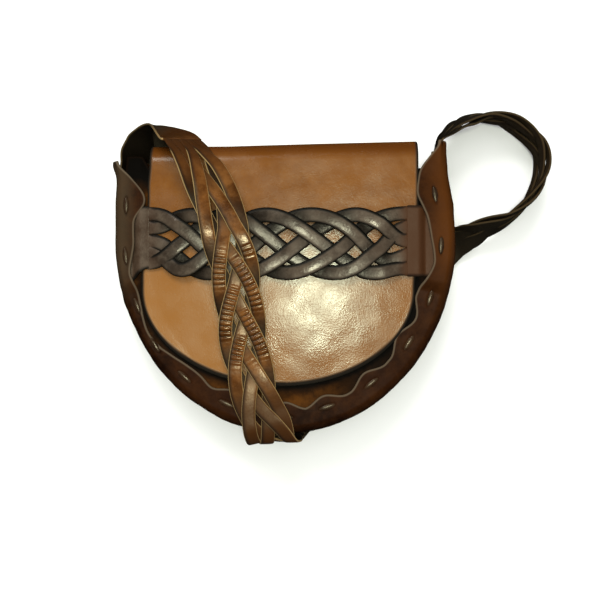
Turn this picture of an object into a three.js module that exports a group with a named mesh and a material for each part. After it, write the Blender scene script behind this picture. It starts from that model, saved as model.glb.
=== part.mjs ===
// Leather shoulder bag with a D shaped body, a long flap held down by a braided band,
// and a braided shoulder strap. It lies on its back with the strap passing once round it.
// Units are millimetres. The bag is modelled level, its back on z = 0 and its mouth towards +Y,
// and the last step leans it a little, because the strap under one side lifts that side.
import * as THREE from 'three';

// --- driving dimensions -------------------------------------------------------------------
const leather = 2.3;          // gusset, panels and band ends
const flapLeather = 2.6;      // the flap and back are one thicker piece
const gap = 0.3;              // air between pieces that touch
const depth = 48.9;           // outside of the back flange to outside of the front flange

// The edge line of the body, seen from the front: straight sides on half an ellipse.
const body = { x: -3.3, y: 40.5, halfWidth: 129.7, halfHeight: 148.4, leftTop: 98, rightTop: 113, rightLean: 6.8 };

const flange = { right: 20.5, wave: 0.15, pitch: 41.2, firstWave: 34, ear: 6, bandLift: 4.6 };
// Width of the flange down the left side. along: distance from the left ear.
const leftFlange = [
  { along: 0, width: 5 }, { along: 9, width: 9.7 }, { along: 18, width: 17.8 }, { along: 24, width: 23 },
  { along: 29, width: 24.6 }, { along: 35, width: 20.5 }, { along: 42, width: 16.2 }, { along: 64, width: 16.3 },
  { along: 78, width: 13 }, { along: 88, width: 10.8 }, { along: 98, width: 13 }, { along: 108, width: 13 },
  { along: 137, width: 8.8 }, { along: 151, width: 10.6 }, { along: 160, width: 14 }, { along: 175, width: 18.3 },
  { along: 189, width: 20.3 }, { along: 210, width: 18.8 },
];
// Width of the flange up the right side, by distance from the left ear as well.
const rightFlange = [
  { along: 440, width: 23 }, { along: 458, width: 19.7 }, { along: 466, width: 17 }, { along: 473, width: 15.5 },
  { along: 483, width: 17 }, { along: 493, width: 19 }, { along: 513, width: 21.5 }, { along: 522, width: 23.2 },
  { along: 531, width: 24.8 }, { along: 540, width: 23.2 }, { along: 548, width: 21.2 }, { along: 556, width: 13.5 },
  { along: 564, width: 6 },
];
const flap = { x: -6, y: 0.8, left: 104.5, right: 100, drop: 72, mouth: 92, foldLeft: -105, topLeft: -106.2, topRight: 97, foldSlope: 0.0235 };
const fold = { top: 110, back: 15, front: 13 };       // how far the flap's fold reaches, and its two radii
// The back stays nearly full width where it starts to turn over. angle: round the fold. left: its left end.
const backCorner = [
  { angle: -90, left: -123 }, { angle: -60, left: -118 }, { angle: -30, left: -107 }, { angle: 0, left: -105 },
];
const dome = { height: 4, border: 26 };
const panel = { inset: 8.5, mouth: 92 };                // how far a panel's edge lies inside the gusset wall
const band = { low: 9, high: 64, thick: 8.5, end: 2.3 };

// Half of the gusset's channel, from its flange to the middle of the wall.
// reach: distance in from the edge line. rise: height above the flange's middle line.
const channel = [
  { reach: 5.2, rise: 0.2 },
  { reach: 2.2, rise: 4.2 },
  { reach: 0.7, rise: 11 },
  { reach: 0, rise: 23.3 },
];

// The strap's middle line, from the left ear round the body to the right ear.
// heading and lift give the way the strap's near edge points, in plan and above level.
const strapRoute = [
  { x: -128.4, y: 74, z: 24.5, heading: 180, lift: 90, width: 34, thick: 2.3 },
  { x: -128.4, y: 99, z: 25, heading: 180, lift: 90, width: 34, thick: 2.3 },
  { x: -122.5, y: 106, z: 27, heading: 160, lift: 70, width: 36, thick: 2.6 },
  { x: -115.5, y: 113.5, z: 29, heading: 135, lift: 60, width: 37, thick: 2.6 },
  { x: -108.4, y: 129, z: 30, heading: 315, lift: 80, width: 37, thick: 3.2 },
  { x: -93.2, y: 121.4, z: 41, heading: 247, lift: 64, width: 37, thick: 7 },
  { x: -80, y: 113.5, z: 55.5, heading: 215, lift: 60, width: 37, thick: 7 },
  { x: -68, y: 97.5, z: 64.5, heading: 210, lift: 40, width: 37, thick: 7 },
  { x: -56, y: 73, z: 65, heading: 200, lift: 16, width: 37, thick: 7.5 },
  { x: -44.7, y: 39, z: 69, heading: 196, lift: 2, width: 37, thick: 7.5 },
  { x: -37.7, y: 5, z: 65, heading: 194, lift: 0, width: 37, thick: 7.5 },
  { x: -34, y: -30, z: 59, heading: 191, lift: 0, width: 37, thick: 7.5 },
  { x: -27.6, y: -65, z: 57.5, heading: 193, lift: 0, width: 36, thick: 7.5 },
  { x: -20.8, y: -90, z: 54.8, heading: 198, lift: 0, width: 37, thick: 7.5 },
  { x: -15.8, y: -102, z: 54, heading: 195, lift: 0, width: 39, thick: 7 },
  { x: -11.5, y: -111.6, z: 47.5, heading: 186, lift: 0, width: 39, thick: 6.5 },
  { x: -9.5, y: -113.6, z: 36, heading: 180, lift: 0, width: 39, thick: 6 },
  { x: -9, y: -114, z: 12, heading: 180, lift: 0, width: 39, thick: 6 },
  { x: -8, y: -112.5, z: 2.5, heading: 180, lift: 0, width: 39, thick: 5.8 },
  { x: -6, y: -107, z: -3.2, heading: 174, lift: 0.5, width: 39, thick: 5.6 },
  { x: 2, y: -98, z: -4, heading: 156, lift: 2, width: 39, thick: 5.6 },
  { x: 20, y: -79, z: -4, heading: 140, lift: 2.1, width: 39, thick: 5.6 },
  { x: 66, y: -30, z: -4, heading: 136, lift: 2.1, width: 38, thick: 5.6 },
  { x: 106, y: 15, z: -4, heading: 134, lift: 2.1, width: 33, thick: 5.6 },
  { x: 121, y: 31, z: -4, heading: 126, lift: 2.1, width: 26, thick: 5.6 },
  { x: 132, y: 39.5, z: -3.8, heading: 115, lift: 3, width: 22, thick: 5.6 },
  { x: 140, y: 44, z: 3, heading: 112, lift: 34, width: 22, thick: 6 },
  { x: 151, y: 49, z: 9.8, heading: 114, lift: 62, width: 30, thick: 7 },
  { x: 172, y: 58.5, z: 12, heading: 126, lift: 82, width: 35, thick: 7 },
  { x: 190, y: 75, z: 12.5, heading: 145, lift: 85, width: 37, thick: 7 },
  { x: 199.5, y: 95, z: 12.5, heading: 175, lift: 87, width: 37, thick: 7 },
  { x: 195, y: 117, z: 13, heading: 208, lift: 88, width: 37, thick: 7 },
  { x: 176, y: 133, z: 14, heading: 240, lift: 88, width: 37, thick: 7 },
  { x: 154, y: 138, z: 17, heading: 262, lift: 82, width: 37, thick: 7 },
  { x: 134.5, y: 134, z: 21, heading: 270, lift: 69, width: 37, thick: 7 },
  { x: 121.5, y: 123, z: 24.5, heading: 270, lift: 70, width: 37, thick: 6.5 },
  { x: 115.4, y: 113.5, z: 25, heading: 270, lift: 88, width: 35, thick: 4.5 },
  { x: 115.9, y: 88, z: 24.5, heading: 270, lift: 90, width: 34, thick: 2.3 },
];

// How the whole bag leans: it turns about the line of the strap beneath it, then is set on the floor.
const lean = { alongX: 0.68, alongY: 0.733, degrees: -2.1 };
const rest = { x: -34.41, y: -13.11, z: 5.9 };

// --- small helpers ------------------------------------------------------------------------
const smooth = (a, b, v) => THREE.MathUtils.smoothstep(v, a, b);
const mix = THREE.MathUtils.lerp;
const radians = THREE.MathUtils.degToRad;

function geometryOf(points, triangles) {
  const geometry = new THREE.BufferGeometry();
  geometry.setAttribute('position', new THREE.Float32BufferAttribute(points.flatMap(p => [p.x, p.y, p.z]), 3));
  geometry.setIndex(triangles);
  geometry.computeVertexNormals();
  return geometry;
}

// A wall of leather: rows of points on its middle surface, thickened half to each side.
// The side that counts as outside is the one the rows' cross product points to.
function wall(rows, thickness) {
  const last = rows.length - 1;
  const end = rows[0].length - 1;
  const points = [];
  rows.forEach((row, i) => row.forEach((point, j) => {
    const down = rows[Math.min(i + 1, last)][j].clone().sub(rows[Math.max(i - 1, 0)][j]);
    const across = row[Math.min(j + 1, end)].clone().sub(row[Math.max(j - 1, 0)]);
    const out = down.cross(across).normalize().multiplyScalar(thickness / 2);
    points.push(point.clone().add(out), point.clone().sub(out));
  }));
  const outer = (i, j) => 2 * (i * (end + 1) + j);
  const inner = (i, j) => outer(i, j) + 1;
  const triangles = [];
  const quad = (a, b, c, d) => triangles.push(a, b, c, a, c, d);
  for (let i = 0; i < last; i++) {
    for (let j = 0; j < end; j++) {
      quad(outer(i, j), outer(i + 1, j), outer(i + 1, j + 1), outer(i, j + 1));
      quad(inner(i, j), inner(i, j + 1), inner(i + 1, j + 1), inner(i + 1, j));
    }
    quad(outer(i, 0), inner(i, 0), inner(i + 1, 0), outer(i + 1, 0));
    quad(outer(i, end), outer(i + 1, end), inner(i + 1, end), inner(i, end));
  }
  for (let j = 0; j < end; j++) {
    quad(outer(0, j), outer(0, j + 1), inner(0, j + 1), inner(0, j));
    quad(outer(last, j), inner(last, j), inner(last, j + 1), outer(last, j + 1));
  }
  return geometryOf(points, triangles);
}

// A solid bar through a row of sections that all have the same number of points.
function bar(sections) {
  const count = sections[0].length;
  const triangles = [];
  for (let i = 0; i < sections.length - 1; i++) {
    for (let j = 0; j < count; j++) {
      const a = i * count + j;
      const b = i * count + (j + 1) % count;
      triangles.push(a, b, b + count, a, b + count, a + count);
    }
  }
  const first = (sections.length - 1) * count;
  for (let j = 1; j < count - 1; j++) {
    triangles.push(0, j + 1, j, first, first + j, first + j + 1);
  }
  return geometryOf(sections.flat(), triangles);
}

// Eight corners of a flattened section: width along one direction, thickness along the other.
function flattened(centre, wide, thin, width, thickness) {
  const corners = [[0.5, -0.2], [0.5, 0.2], [0.33, 0.5], [-0.33, 0.5], [-0.5, 0.2], [-0.5, -0.2],
    [-0.33, -0.5], [0.33, -0.5]];
  return corners.map(([u, v]) => centre.clone()
    .addScaledVector(wide, u * width)
    .addScaledVector(thin, v * thickness));
}

function piece(name, geometry, colour, roughness) {
  const material = new THREE.MeshStandardMaterial({ color: colour, roughness, metalness: 0 });
  const mesh = new THREE.Mesh(geometry, material);
  mesh.name = name;
  return mesh;
}

// --- shared shapes ------------------------------------------------------------------------
// The front swells a little inside its flanges, less towards the mouth.
const domeAt = (x, y) => {
  const across = (x - body.x) / (body.halfWidth - dome.border);
  const down = Math.min(0, y - body.y) / (body.halfHeight - dome.border);
  return dome.height * Math.max(0, 1 - across * across - down * down) * (1 - 0.5 * smooth(40, 105, y));
};
const frontHeight = depth - leather - gap - leather / 2;      // middle of the front panel at its edge
const panelHeight = (x, y) => frontHeight + domeAt(x, y);
const flapHeight = (x, y) => panelHeight(x, y) + leather / 2 + gap + 0.15 + flapLeather / 2;

// Left and right limits of a panel at height y, lying inside the gusset wall by an inset.
const rightWall = y => body.x + body.halfWidth - body.rightLean * smooth(45, 95, y);
function panelRow(y, inset) {
  const sink = Math.max(0, body.y - y) / (body.halfHeight - inset);
  const narrow = Math.sqrt(Math.max(0, 1 - sink * sink));
  const half = (body.halfWidth - inset) * narrow;
  return { left: body.x - half, right: Math.min(body.x + half, rightWall(y) - inset) };
}
const rowOf = (left, right, columns, place) =>
  Array.from({ length: columns + 1 }, (_, j) => place(mix(left, right, j / columns)));

function flangeWidth(table, along) {
  if (along <= table[0].along) return table[0].width;
  if (along >= table.at(-1).along) return table.at(-1).width;
  const row = table.findIndex(entry => entry.along >= along);
  const [near, far] = [table[row - 1], table[row]];
  return mix(near.width, far.width, smooth(near.along, far.along + 0.001, along));
}

// Heights of a panel's rows: even steps of angle round the ellipse, then straight up to the mouth.
function panelHeights(inset, mouth) {
  const heights = [];
  for (let angle = -83; angle < 0; angle += 9.2) {
    heights.push(body.y + (body.halfHeight - inset) * Math.sin(radians(angle)));
  }
  for (let step = 0; step <= 3; step++) {
    heights.push(mix(body.y + 8, mouth, step / 3));
  }
  return heights;
}

// --- back panel, top fold and flap: one piece of leather ----------------------------------
function backAndFlap() {
  const columns = 14;
  const backHeight = leather + gap + flapLeather / 2;
  const topHeight = y => flapHeight(body.x, y);
  const rows = [];
  for (const y of panelHeights(panel.inset, 84)) {
    const { left, right } = panelRow(y, panel.inset);
    rows.push(rowOf(left, right, columns, x => new THREE.Vector3(x, y, backHeight)));
  }
  // round the top: two arcs with a short flat between them
  const foldRows = [];
  for (const { angle, left } of backCorner) {
    foldRows.push({ y: fold.top - fold.back * (1 - Math.cos(radians(angle))),
      z: backHeight + fold.back * (1 + Math.sin(radians(angle))), left });
  }
  for (const angle of [0, 25, 50, 75, 90]) {
    foldRows.push({ y: fold.top - fold.front * (1 - Math.cos(radians(angle))),
      z: topHeight(fold.top - fold.front) - fold.front * (1 - Math.sin(radians(angle))), left: flap.foldLeft });
  }
  for (const { y, z, left } of foldRows) {
    rows.push(rowOf(left, flap.topRight, columns, x => {
      const domed = flapHeight(x, fold.top - fold.front) - topHeight(fold.top - fold.front);
      const slope = flap.foldSlope * Math.max(0, x + 45) * smooth(84, 97, y);
      return new THREE.Vector3(x, y + slope, z + domed * smooth(backHeight + fold.back, depth, z));
    }));
  }
  for (const y of [80, 62, 44, 26, 10]) {
    const left = mix(flap.topLeft, flap.x - flap.left, smooth(70, 12, y));
    rows.push(rowOf(left, flap.topRight, columns, x => new THREE.Vector3(x, y, flapHeight(x, y))));
  }
  for (const angle of [-2, -12, -22, -32, -42, -52, -62, -71, -79, -85]) {
    const y = flap.y + flap.drop * Math.sin(radians(angle));
    const narrow = Math.cos(radians(angle));
    rows.push(rowOf(flap.x - flap.left * narrow, flap.x + flap.right * narrow, columns,
      x => new THREE.Vector3(x, y, flapHeight(x, y))));
  }
  rows.reverse();
  return piece('back_and_flap', wall(rows, flapLeather), 0x8a5530, 0.45);
}

// --- front panel --------------------------------------------------------------------------
function frontPanel() {
  const columns = 12;
  const rows = panelHeights(panel.inset, panel.mouth).map(y => {
    const { left, right } = panelRow(y, panel.inset);
    return rowOf(left, right, columns, x => new THREE.Vector3(x, y, panelHeight(x, y)));
  });
  rows.reverse();
  return piece('front_panel', wall(rows, leather), 0x6b3a1e, 0.5);
}

// --- gusset: a channel of leather round the sides and bottom -------------------------------
function gusset() {
  const edge = new THREE.Path();
  const left = body.x - body.halfWidth;
  const right = body.x + body.halfWidth;
  edge.moveTo(left, body.leftTop);
  edge.lineTo(left, body.y);
  edge.absellipse(body.x, body.y, body.halfWidth, body.halfHeight, Math.PI, 2 * Math.PI, false);
  edge.bezierCurveTo(right, 68, right - body.rightLean, 80, right - body.rightLean, body.rightTop);
  const steps = 64;
  const stations = edge.getSpacedPoints(steps);
  const length = edge.getLength();
  const rows = stations.map((point, i) => {
    const ahead = stations[Math.min(i + 1, steps)].clone().sub(stations[Math.max(i - 1, 0)]).normalize();
    const inward = new THREE.Vector2(-ahead.y, ahead.x);
    const travelled = length * i / steps;
    const wave = Math.cos(2 * Math.PI * (travelled - flange.firstWave) / flange.pitch);
    const full = mix(flange.right * (1 + flange.wave * wave), flange.ear,
      smooth(body.rightTop - 24, body.rightTop - 1, point.y));
    const middle = mix(flangeWidth(leftFlange, travelled), full, smooth(190, 215, travelled));
    const width = mix(middle, flangeWidth(rightFlange, travelled), smooth(438, 450, travelled));
    const lift = flange.bandLift * smooth(-6, 6, point.y) * (1 - smooth(71, 83, point.y));
    const across = [];
    const add = (reach, z) => across.push(new THREE.Vector3(
      point.x + inward.x * reach, point.y + inward.y * reach, z));
    const flangeReaches = [1, 0.66, 0.3].map(share => mix(channel[0].reach, width, share));
    const bottom = leather / 2;
    const crown = depth - leather / 2;
    flangeReaches.forEach(reach => add(reach, bottom));
    channel.forEach(({ reach, rise }) => add(reach, bottom + rise));
    channel.slice(0, -1).reverse().forEach(({ reach, rise }) => {
      add(reach, crown - rise + lift * smooth(12, 0, rise));
    });
    flangeReaches.slice().reverse().forEach(reach => add(reach, crown + lift));
    return across;
  });
  return piece('gusset', wall(rows, leather), 0x3f1f15, 0.4);
}

// --- band that holds the flap down ---------------------------------------------------------
// Its ends are tucked between the front panel and the flange. Its braided middle stands over the flap.
function frontBand() {
  const ends = { left: -122.5, right: 111.5 };
  const flapEdge = { left: -112, right: 97 };
  const sections = [];
  const steps = 30;
  for (let i = 0; i <= steps; i++) {
    const x = mix(ends.left, ends.right, i / steps);
    const onFlap = smooth(flapEdge.left - 6, flapEdge.left, x) * (1 - smooth(flapEdge.right, flapEdge.right + 6, x));
    const braided = smooth(-104, -86, x) * (1 - smooth(76, 94, x));
    const middle = (band.low + band.high) / 2;
    const thick = mix(band.end, band.thick, braided);
    const under = mix(panelHeight(x, middle) + leather / 2, flapHeight(x, middle) + flapLeather / 2, onFlap);
    const centre = new THREE.Vector3(x, middle, under + gap + 0.25 + 0.4 * onFlap + thick / 2);
    sections.push(flattened(centre, new THREE.Vector3(0, 1, 0), new THREE.Vector3(0, 0, 1),
      band.high - band.low, thick));
  }
  return piece('front_band', bar(sections), 0x2e201c, 0.4);
}

// --- shoulder strap ------------------------------------------------------------------------
function shoulderStrap() {
  const along = new THREE.CatmullRomCurve3(strapRoute.map(p => new THREE.Vector3(p.x, p.y, p.z)), false, 'centripetal');
  const nearEdge = strapRoute.map(({ heading, lift }) => new THREE.Vector3(
    Math.cos(radians(lift)) * Math.cos(radians(heading)),
    Math.cos(radians(lift)) * Math.sin(radians(heading)),
    Math.sin(radians(lift))));
  const rows = strapRoute.length - 1;
  const perRow = 3;
  const sections = [];
  for (let i = 0; i <= rows * perRow; i++) {
    const share = i / (rows * perRow);
    const row = Math.min(Math.floor(i / perRow), rows - 1);
    const part = i / perRow - row;
    const ahead = along.getTangent(share);
    const wide = nearEdge[row].clone().lerp(nearEdge[row + 1], part);
    wide.addScaledVector(ahead, -wide.dot(ahead)).normalize();
    const thin = ahead.clone().cross(wide);
    sections.push(flattened(along.getPoint(share), wide, thin,
      mix(strapRoute[row].width, strapRoute[row + 1].width, part),
      mix(strapRoute[row].thick, strapRoute[row + 1].thick, part)));
  }
  return piece('shoulder_strap', bar(sections), 0x5a3418, 0.4);
}

// --- the whole bag, leaned and set on the floor ---------------------------------------------
const bag = new THREE.Group();
bag.add(backAndFlap(), frontPanel(), gusset(), frontBand(), shoulderStrap());
bag.quaternion.setFromAxisAngle(new THREE.Vector3(lean.alongX, lean.alongY, 0).normalize(), radians(lean.degrees));
bag.position.set(rest.x, rest.y, rest.z);

const group = new THREE.Group();
group.add(bag);

export default group;
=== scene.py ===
import math
from functools import partial

import bpy
import numpy as np
from mathutils import Matrix, Vector, kdtree, noise


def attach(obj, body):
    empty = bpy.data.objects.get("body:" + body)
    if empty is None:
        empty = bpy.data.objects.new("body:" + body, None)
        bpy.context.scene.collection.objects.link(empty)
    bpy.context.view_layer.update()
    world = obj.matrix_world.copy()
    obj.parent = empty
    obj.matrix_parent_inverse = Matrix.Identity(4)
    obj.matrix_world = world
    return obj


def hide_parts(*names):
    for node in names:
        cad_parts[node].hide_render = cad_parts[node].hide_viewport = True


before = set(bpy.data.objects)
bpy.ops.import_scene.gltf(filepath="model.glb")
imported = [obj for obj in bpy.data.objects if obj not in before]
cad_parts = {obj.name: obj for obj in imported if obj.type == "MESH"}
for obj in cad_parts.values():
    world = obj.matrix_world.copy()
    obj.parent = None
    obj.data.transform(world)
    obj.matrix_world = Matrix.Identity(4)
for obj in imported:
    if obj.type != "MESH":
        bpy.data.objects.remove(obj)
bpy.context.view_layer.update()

mm = 0.001

# where the bag lies
# Every shape is worked out in millimetres on a level bag, back down and mouth towards +Y.
# Then it is leaned and set on the floor, as the frame's solids are.
lay = {"turnAbout": (0.68, 0.733, 0.0), "degrees": -2.1, "setAt": (-34.41, -13.11, 5.9)}
layTurn = Matrix.Rotation(math.radians(lay["degrees"]), 3, Vector(lay["turnAbout"]).normalized())
layRows = np.array(layTurn)

# sizes that the pieces share
leather = 2.3
flapLeather = 2.6
gap = 0.3
flapClear = 0.15
depth = 48.9
body = {"x": -3.3, "y": 40.5, "halfWidth": 129.7, "halfHeight": 148.4,
        "leftTop": 98, "rightTop": 113, "rightLean": 6.8, "leanFrom": (45, 95)}
# the front swells out in the middle, and less towards the mouth
swell = {"height": 4.0, "border": 26.0, "mouth": (40, 105), "mouthLoss": 0.5}


def layDown(points):
    return (np.asarray(points, float).reshape(-1, 3) @ layRows.T + np.array(lay["setAt"])) * mm


def smooth(low, high, value):
    part = np.clip((np.asarray(value, float) - low) / (high - low), 0, 1)
    return part * part * (3 - 2 * part)


def between(rise, fall, value):
    # 0, rising to 1 over the first span and back to 0 over the second
    return smooth(*rise, value) * (1 - smooth(*fall, value))


def mix(a, b, part):
    return a + (b - a) * part


def unit(vectors):
    return vectors / np.maximum(np.linalg.norm(vectors, axis=-1, keepdims=True), 1e-9)


def runAlong(points):
    # how far along a line each of its points is
    return np.concatenate([[0], np.cumsum(np.linalg.norm(np.diff(points, axis=0), axis=1))])


def evened(table, at, reach, count):
    # a table read at each place and averaged over reach to both sides
    return np.interp(at[:, None] + np.linspace(-reach, reach, count), *table.values()).mean(axis=1)


def frontSwell(x, y):
    across = (x - body["x"]) / (body["halfWidth"] - swell["border"])
    down = np.minimum(0, y - body["y"]) / (body["halfHeight"] - swell["border"])
    rise = swell["height"] * np.maximum(0, 1 - across ** 2 - down ** 2)
    return rise * (1 - swell["mouthLoss"] * smooth(*swell["mouth"], y))


def panelHeight(x, y):
    return depth - leather - gap - leather / 2 + frontSwell(x, y)


def flapHeight(x, y):
    return panelHeight(x, y) + leather / 2 + gap + flapClear + flapLeather / 2


def ripple(points, size, height, seed):
    # soft unevenness: one number for each point, about plus or minus height
    roughness, spacing, octaves = 0.9, 2.0, 3
    flat = np.asarray(points, float).reshape(-1, 3)
    offset = Vector((17.3, 5.1, 9.7)) * seed
    values = [noise.fractal(Vector(p) / size + offset, roughness, spacing, octaves) for p in flat]
    return height * np.array(values).reshape(np.asarray(points).shape[:-1])


# meshes
def addObject(name, data):
    holder = bpy.data.objects.new(name, data)
    bpy.context.scene.collection.objects.link(holder)
    return holder


def setMarks(mesh, marks):
    for name, values in marks.items():
        mark = mesh.attributes.new(name, "FLOAT", "POINT")
        mark.data.foreach_set("value", np.asarray(values, np.float32).ravel())


def rowAcross(y, left, right, share, height):
    # points from left to right at one y, each as high as the function says
    x = mix(left, right, share)
    return np.stack([x, x * 0 + y, x * 0 + height(x, y)], 1)


# the cut edge of a sheet: how many bands it has, and how far it rounds out for its thickness
cutEdge = {"bands": 4, "round": 0.32}


def leatherSheet(name, grid, thickness, material, marks, shadowWidening=0.0, uncut=None):
    # A closed wall from a grid of points on its middle surface, with a rounded cut edge.
    # marks: numbers for the finish, and where one is a pair, for the upper and the under side
    # the next argument: how much wider the edge's colour is at each point, as painted shadow
    # uncut: the row, 0 or -1, where the leather goes on as strands and shows no cut edge
    rows, columns = grid.shape[:2]
    count = rows * columns
    normal = unit(np.cross(np.gradient(grid, axis=0), np.gradient(grid, axis=1)))
    index = np.arange(count).reshape(rows, columns)
    loop = np.concatenate([index[:-1, 0], index[-1, :-1], index[:0:-1, -1], index[0, :0:-1]])
    middle = grid.reshape(-1, 3)[loop]
    up = normal.reshape(-1, 3)[loop]
    outward = unit(np.cross(np.roll(middle, -1, axis=0) - np.roll(middle, 1, axis=0), up))
    cut = np.ones(len(loop), bool)
    if uncut is not None:
        cut = ~np.isin(loop, index[uncut])
    top = grid + normal * thickness / 2
    under = grid - normal * thickness / 2
    parts = [top.reshape(-1, 3), under.reshape(-1, 3)]
    a, b = index[:-1, :-1].ravel(), index[1:, :-1].ravel()
    c, d = index[1:, 1:].ravel(), index[:-1, 1:].ravel()
    faces = [*np.stack([a, b, c, d], 1), *(np.stack([a, d, c, b], 1) + count)]
    rings = [loop]
    for band in range(1, cutEdge["bands"]):
        angle = math.pi * band / cutEdge["bands"]
        parts.append(middle + up * math.cos(angle) * thickness / 2
                     + outward * (math.sin(angle) * thickness * cutEdge["round"]) * cut[:, None])
        rings.append(np.arange(len(loop)) + 2 * count + (band - 1) * len(loop))
    rings.append(loop + count)
    for near, far in zip(rings[:-1], rings[1:]):
        faces += list(np.stack([near, far, np.roll(far, -1), np.roll(near, -1)], 1))

    # rim: how far each point is from the cut edge
    border = kdtree.KDTree(len(loop))
    for i, place in enumerate(middle):
        if cut[i]:
            border.insert(Vector(place), i)
    border.balance()
    inside = np.array([border.find(Vector(p))[2] for p in grid.reshape(-1, 3)]) - np.ravel(shadowWidening)
    bands = cutEdge["bands"] - 1
    allMarks = {"rim": np.concatenate([inside, inside] + [np.where(cut, -1.0, inside[loop])] * bands)}
    for markName, values in marks.items():
        pair = values if isinstance(values, tuple) else (values, values)
        upper, lower = [np.ravel(side) for side in pair]
        allMarks[markName] = np.concatenate([upper, lower] + [upper[loop]] * bands)

    mesh = bpy.data.meshes.new(name)
    mesh.from_pydata([tuple(p) for p in layDown(np.concatenate(parts))], [],
                     [tuple(map(int, f)) for f in faces])
    setMarks(mesh, allMarks)
    mesh.polygons.foreach_set("use_smooth", [True] * len(mesh.polygons))
    mesh.materials.append(material)
    mesh.update()
    return addObject(name, mesh)


def joinPieces(name, first, *others):
    with bpy.context.temp_override(active_object=first, selected_editable_objects=[first, *others]):
        bpy.ops.object.join()
    first.name = name
    first.data.name = name
    return first


# nodes
def addNode(tree, kind, inputs=None, **settings):
    # a number, word or colour is set on its socket, and another node's output is linked to it
    node = tree.nodes.new(kind)
    for key, value in settings.items():
        setattr(node, key, value)
    for socket, value in (inputs or {}).items():
        if isinstance(value, (int, float, str)):
            node.inputs[socket].default_value = value
        elif isinstance(value, tuple):
            node.inputs[socket].default_value = (*value, 1.0)
        else:
            tree.links.new(value, node.inputs[socket])
    return node


def made(tree, kind, inputs=None, **settings):
    return addNode(tree, kind, inputs, **settings).outputs[0]


def mathNode(tree, operation, *terms, clamp=False):
    return made(tree, "ShaderNodeMath", dict(enumerate(terms)), operation=operation, use_clamp=clamp)


def rangeNode(tree, value, low, high, toLow=0.0, toHigh=1.0):
    limits = {"From Min": low, "From Max": high, "To Min": toLow, "To Max": toHigh}
    return made(tree, "ShaderNodeMapRange", {"Value": value, **limits}, interpolation_type="SMOOTHSTEP")


# materials
# what every leather has, unless its own finish says otherwise
plainLeather = {
    "patchScale": 14, "patchRange": (0.36, 0.66), "mottleScale": 70, "mottleRange": (0.35, 0.7),
    "mottle": 0.4, "sunkRange": (0.25, 0.95), "edgeShade": 1.0, "edgeRough": 0.3,
    "grainScale": 620, "cellShare": 0.55, "fineShare": 0.45, "grain": 0.25, "grainDepth": 0.0004,
    "crease": 0.3, "creaseDepth": 0.0012, "creaseScale": 90, "roughScale": 40, "smoother": 0.05,
    "rougher": 0.07, "specular": 0.5, "specularTint": (1, 1, 1),
}
# painted shade on a strand: in its pressed grooves, down one side, and on its under face, which shows in
# shadow inside the arch:
# the mark that says where, over which span of it, and how strongly
shadePlaces = {"grooveShade": ("grooveShade", (0.3, 0.95), 0.8), "shaded": ("side", (0.25, 0.95), 0.9),
              "underShade": ("under", (-0.2, 0.5), 0.9)}
finishes = {
    # the tan's tone colour is painted shade, over the fold and inside the bag
    "tan": {
        "main": (0.147, 0.052, 0.008), "deep": (0.122, 0.041, 0.005), "light": (0.19, 0.076, 0.016),
        "glow": (0.225, 0.094, 0.02), "mottle": 0.5, "tone": "foldShade", "toneColour": (0.075, 0.021, 0.002),
        "edge": (0.005, 0.002, 0.0008), "edgeWidth": 2.4, "edgeRough": 0.65, "rough": 0.235,
        "grain": 0.3, "grainScale": 900, "grainDepth": 0.00024, "crease": 0.06,
        "specular": 0.62, "specularTint": (0.96, 1, 0.9)},
    # the chestnut's tone colour is painted shade
    "chestnut": {
        "main": (0.042, 0.0135, 0.0015), "deep": (0.012, 0.004, 0.0005), "light": (0.15, 0.05, 0.005),
        "tone": "shade", "toneColour": (0.002, 0.0015, 0.001),
        "edge": (0.004, 0.002, 0.001), "edgeWidth": 2.0, "rough": 0.65, "specular": 0.05},
    # the cordovan's slit colour is painted shade in the slits under the stitches
    "cordovan": {
        "main": (0.017, 0.0048, 0.001), "deep": (0.005, 0.0016, 0.0006), "light": (0.042, 0.0135, 0.0025),
        "glow": (0.05, 0.033, 0.017), "mottle": 0.5, "tone": "ruddy", "toneColour": (0.07, 0.021, 0.003),
        "slit": (0.002, 0.001, 0.001), "edge": (0.1, 0.075, 0.048), "edgeWidth": 1.1, "edgeShade": 0.7,
        "edgeRough": 0.1, "rough": 0.5, "grain": 0.16, "crease": 0.2, "specular": 0.05},
    # the dark leather's darkest colour is painted shade where strands dip under others
    "dark": {
        "main": (0.055, 0.038, 0.025), "deep": (0.018, 0.012, 0.008), "light": (0.14, 0.108, 0.075),
        "sunk": 0.92, "sunkShadeColour": (0.002, 0.0015, 0.001),
        "tone": "tone", "toneColour": (0.045, 0.016, 0.005), "toneRough": 0.3,
        "edge": (0.001, 0.001, 0.001), "edgeWidth": 2.3, "edgeFade": 0.3, "rough": 0.26, "grain": 0.14,
        "specular": 0.4, "specularTint": (1, 0.91, 0.8)},
    # the golden leather's darker colours for dipped strands, grooves, one side of each strand and the
    # under face are painted shade, and so, in part, is its tone at the strap's lower end
    "golden": {
        "main": (0.088, 0.0285, 0.005), "deep": (0.033, 0.0105, 0.002), "light": (0.2, 0.079, 0.018),
        "mottle": 0.6, "sunk": 0.95, "sunkShadeColour": (0.004, 0.002, 0.001), "grooveShade": (0.006, 0.002, 0.001),
        "shaded": (0.006, 0.002, 0.001), "shadeRough": 0.35, "underShade": (0.004, 0.003, 0.002),
        "tone": "tone", "toneMiddle": (0.042, 0.0135, 0.0022), "toneColour": (0.025, 0.0155, 0.0065),
        "toneRough": 0.35, "edge": (0.45, 0.3, 0.12), "edgeWidth": 0.7, "edgeShade": 0.8,
        "edgeFade": 0.93, "rough": 0.23, "grain": 0.14, "specularTint": (1, 0.8, 0.58)},
    "lace": {
        "main": (0.024, 0.01, 0.004), "deep": (0.01, 0.004, 0.002), "light": (0.06, 0.034, 0.016),
        "rough": 0.3, "grain": 0.12, "specularTint": (1, 0.88, 0.7)},
}


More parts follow.
